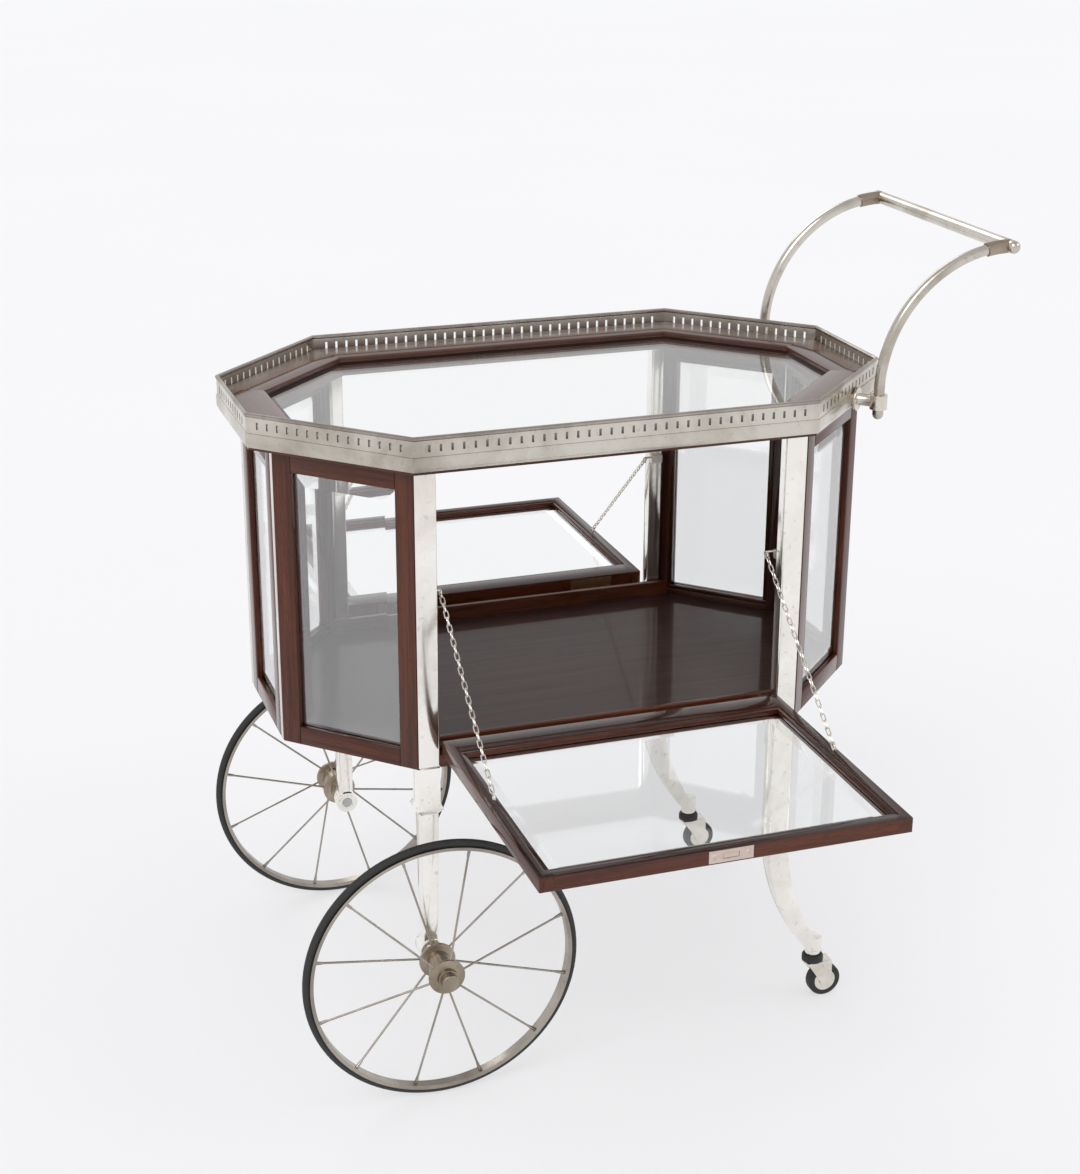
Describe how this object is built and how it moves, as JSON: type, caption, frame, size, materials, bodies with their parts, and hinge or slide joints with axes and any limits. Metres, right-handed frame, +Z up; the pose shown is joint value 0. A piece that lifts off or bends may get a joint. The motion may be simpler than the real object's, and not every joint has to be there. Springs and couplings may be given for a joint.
{
  "type": "bar cart",
  "caption": "Octagonal glazed bar cart with plated posts and pierced gallery, fall flaps on chains, spoked wheels, swivel casters and a curved push handle.",
  "frame": {"origin": "on the floor, under the middle of the cart's overall length and depth with both flaps open", "axes": "+X along the cart towards the push handle, +Y from the front flap to the back flap, +Z up"},
  "size_m": [0.84, 1.0362, 0.8809],
  "materials": {
    "mahogany": "polished, reddish brown",
    "floor_mahogany": "high polish, dark",
    "silver_plate": "polished silver plate, slightly tarnished",
    "lock_nickel": "worn nickel",
    "hinge_brass": "aged brass",
    "hub_bronze": "dull bronze",
    "steel": "dull plated steel",
    "glass": "clear, bevelled",
    "tyre_rubber": "matt black rubber",
    "caster_rubber": "black rubber"
  },
  "bodies": {
    "cart": {"base_rails": "mahogany", "canted_frames": "mahogany", "end_frames": "mahogany", "panel_beads": "mahogany", "top_bearers": "mahogany", "top_border": "mahogany", "floor_board": "floor_mahogany", "corner_posts": "silver_plate", "end_posts": "silver_plate", "wheel_legs": "silver_plate", "caster_legs": "silver_plate", "edge_band": "silver_plate", "gallery_walls": "silver_plate", "gallery_rails": "silver_plate", "handle_arms": "silver_plate", "handle_grip": "silver_plate", "handle_brackets": "silver_plate", "bracket_screws": "silver_plate", "chain_hooks": "silver_plate", "front_chains": "silver_plate", "back_chains": "silver_plate", "strike_plates": "lock_nickel", "sill_hinge_leaves": "hinge_brass", "hinge_pins": "hinge_brass", "axle_nuts": "hub_bronze", "handle_ferrules": "hub_bronze", "stub_axles": "steel", "canted_panes": "glass", "end_panes": "glass", "top_glass": "glass"},
    "front_flap": {"front_flap_frame": "mahogany", "front_flap_pane": "glass", "front_flap_beads": "mahogany", "front_flap_lock": "lock_nickel", "front_flap_hinge_leaves": "hinge_brass", "front_flap_chain_eyes": "silver_plate"},
    "front_bolt": {"front_flap_bolt": "lock_nickel"},
    "front_wheel": {"front_wheel_hub": "hub_bronze", "front_wheel_spokes": "steel", "front_wheel_rim": "steel", "front_wheel_tyre": "tyre_rubber"},
    "front_caster": {"front_caster_fork": "silver_plate"},
    "front_caster_wheel": {"front_caster_core": "silver_plate", "front_caster_tread": "caster_rubber"},
    "back_flap": {"back_flap_frame": "mahogany", "back_flap_pane": "glass", "back_flap_beads": "mahogany", "back_flap_lock": "lock_nickel", "back_flap_hinge_leaves": "hinge_brass", "back_flap_chain_eyes": "silver_plate"},
    "back_bolt": {"back_flap_bolt": "lock_nickel"},
    "back_wheel": {"back_wheel_hub": "hub_bronze", "back_wheel_spokes": "steel", "back_wheel_rim": "steel", "back_wheel_tyre": "tyre_rubber"},
    "back_caster": {"back_caster_fork": "silver_plate"},
    "back_caster_wheel": {"back_caster_core": "silver_plate", "back_caster_tread": "caster_rubber"}
  },
  "joints": [
    {"name": "front_flap_hinge", "type": "hinge", "parent": "cart", "child": "front_flap", "pos_m": [-0.05978, -0.2042, 0.3851], "axis": [-1, 0, 0], "range_deg": [0, 90], "deforming": ["front_chains"]},
    {"name": "front_bolt_slide", "type": "slide", "parent": "front_flap", "child": "front_bolt", "axis": [0, -1, 0], "range_m": [0, 0.005]},
    {"name": "front_wheel_spin", "type": "hinge", "parent": "cart", "child": "front_wheel", "pos_m": [-0.26478, -0.238, 0.153], "axis": [0, 1, 0], "continuous": true},
    {"name": "front_caster_swivel", "type": "hinge", "parent": "cart", "child": "front_caster", "pos_m": [0.20222, -0.189, 0.047], "axis": [0, 0, 1], "continuous": true},
    {"name": "front_caster_spin", "type": "hinge", "parent": "front_caster", "child": "front_caster_wheel", "pos_m": [0.21722, -0.189, 0.02], "axis": [0, 1, 0], "continuous": true},
    {"name": "back_flap_hinge", "type": "hinge", "parent": "cart", "child": "back_flap", "pos_m": [-0.05978, 0.2042, 0.3851], "axis": [1, 0, 0], "range_deg": [0, 90], "deforming": ["back_chains"]},
    {"name": "back_bolt_slide", "type": "slide", "parent": "back_flap", "child": "back_bolt", "axis": [0, 1, 0], "range_m": [0, 0.005]},
    {"name": "back_wheel_spin", "type": "hinge", "parent": "cart", "child": "back_wheel", "pos_m": [-0.26478, 0.238, 0.153], "axis": [0, 1, 0], "continuous": true},
    {"name": "back_caster_swivel", "type": "hinge", "parent": "cart", "child": "back_caster", "pos_m": [0.20222, 0.189, 0.047], "axis": [0, 0, 1], "continuous": true},
    {"name": "back_caster_spin", "type": "hinge", "parent": "back_caster", "child": "back_caster_wheel", "pos_m": [0.21722, 0.189, 0.02], "axis": [0, 1, 0], "continuous": true}
  ]
}
